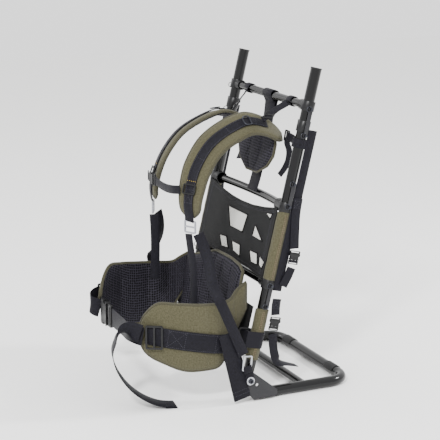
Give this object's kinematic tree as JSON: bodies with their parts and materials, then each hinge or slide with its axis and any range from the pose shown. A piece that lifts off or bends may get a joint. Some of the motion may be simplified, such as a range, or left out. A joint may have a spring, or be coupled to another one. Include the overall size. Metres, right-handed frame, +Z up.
{
  "type": "external frame backpack",
  "caption": "External-frame hunting pack: tube frame leaning back over a folding freight shelf, padded shoulder harness, hip belt and lash straps.",
  "frame": {"origin": "on the floor, in the middle of the pack's footprint box", "axes": "+X to the wearer's left, -Y towards the wearer, +Y towards the load and the shelf, +Z up"},
  "size_m": [0.4292, 0.596, 0.7726],
  "materials": {
    "frame_tube": "gloss black enamel on aluminium tube",
    "painted_plate": "satin black enamel on steel plate",
    "black_plastic": "moulded, satin",
    "grey_plastic": "moulded, silver grey",
    "plated_steel": "zinc plated",
    "dark_steel": "blackened",
    "pad_rubber": "moulded",
    "panel_cloth": "black plain-weave nylon",
    "olive_cloth": "olive textured nylon",
    "spacer_mesh": "open spacer mesh",
    "webbing": "black nylon webbing"
  },
  "bodies": {
    "frame": {"adjuster_buckles": "grey_plastic", "adjuster_tails": "webbing", "belt_rings": "black_plastic", "belt_tail": "webbing", "clevis_pins": "plated_steel", "crossbar_sockets": "black_plastic", "foot_webbing": "webbing", "harness_buckles": "black_plastic", "harness_hanger": "webbing", "hip_back_pad": "spacer_mesh", "hip_wing_left": "olive_cloth", "hip_wing_right": "olive_cloth", "lash_bars": "painted_plate", "lash_housings": "black_plastic", "lash_tails_lower": "webbing", "lash_webbing": "webbing", "lower_crossbar": "frame_tube", "lower_webbing": "webbing", "lumbar_band": "panel_cloth", "mesh_panel": "panel_cloth", "middle_crossbar": "frame_tube", "pivot_bolts": "dark_steel", "pivot_nuts": "plated_steel", "pivot_washers": "plated_steel", "rail_collars": "black_plastic", "rail_end_caps": "black_plastic", "rail_left": "frame_tube", "rail_loops": "webbing", "rail_right": "frame_tube", "rail_sleeves": "olive_cloth", "shoulder_strap_left": "olive_cloth", "shoulder_strap_right": "olive_cloth", "split_rings": "plated_steel", "steel_rings": "plated_steel", "sternum_buckle_female": "black_plastic", "sternum_sliders": "black_plastic", "sternum_webbing_left": "webbing", "sternum_webbing_right": "webbing", "strap_webbing_left": "webbing", "strap_webbing_right": "webbing", "top_crossbar": "frame_tube", "triglides": "black_plastic", "upper_webbing": "webbing", "waist_buckle_female": "black_plastic", "waist_webbing_left": "webbing", "waist_webbing_right": "webbing", "wing_webbing": "webbing", "yoke_pad": "spacer_mesh"},
    "shelf": {"gusset_plates": "painted_plate", "shelf_midbar": "frame_tube", "shelf_pads": "pad_rubber", "shelf_tube": "frame_tube"},
    "waist_prongs": {"waist_buckle_male": "black_plastic"},
    "sternum_prongs": {"sternum_buckle_male": "black_plastic"},
    "d_ring_left": {"d_ring_left": "dark_steel"},
    "d_ring_right": {"d_ring_right": "dark_steel"},
    "lash_end_lower_left": {"lash_end_lower_left": "webbing"},
    "lash_end_lower_right": {"lash_end_lower_right": "webbing"},
    "lash_end_middle_left": {"lash_end_middle_left": "webbing"},
    "lash_end_middle_right": {"lash_end_middle_right": "webbing"}
  },
  "joints": [
    {"name": "shelf_fold", "type": "hinge", "parent": "frame", "child": "shelf", "pos_m": [0, 0.0149, 0.0537], "axis": [1, 0, 0], "range_deg": [0, 76], "deforming": ["lash_tails_lower"]},
    {"name": "waist_buckle_release", "type": "slide", "parent": "frame", "child": "waist_prongs", "axis": [1, 0, 0], "range_m": [0, 0.03], "deforming": ["waist_webbing_left"]},
    {"name": "sternum_buckle_release", "type": "slide", "parent": "frame", "child": "sternum_prongs", "axis": [1, 0, 0], "range_m": [0, 0.016], "deforming": ["sternum_webbing_left"]},
    {"name": "d_ring_flip_left", "type": "hinge", "parent": "frame", "child": "d_ring_left", "pos_m": [0.09257, 0.06649, 0.64369], "axis": [-0.7879, 0.0041, 0.6158], "range_deg": [0, 110]},
    {"name": "d_ring_flip_right", "type": "hinge", "parent": "frame", "child": "d_ring_right", "pos_m": [-0.08783, 0.06655, 0.64597], "axis": [-0.9729, -0.0177, -0.2305], "range_deg": [0, 110]},
    {"name": "lash_release_lower_left", "type": "slide", "parent": "frame", "child": "lash_end_lower_left", "axis": [0, -0.2317, -0.9728], "range_m": [0, 0.014], "deforming": ["lash_tails_lower"]},
    {"name": "lash_release_lower_right", "type": "slide", "parent": "frame", "child": "lash_end_lower_right", "axis": [0, -0.2317, -0.9728], "range_m": [0, 0.014], "deforming": ["lash_tails_lower"]},
    {"name": "lash_release_middle_left", "type": "slide", "parent": "frame", "child": "lash_end_middle_left", "axis": [0, -0.2317, -0.9728], "range_m": [0, 0.014]},
    {"name": "lash_release_middle_right", "type": "slide", "parent": "frame", "child": "lash_end_middle_right", "axis": [0, -0.2317, -0.9728], "range_m": [0, 0.014]}
  ]
}
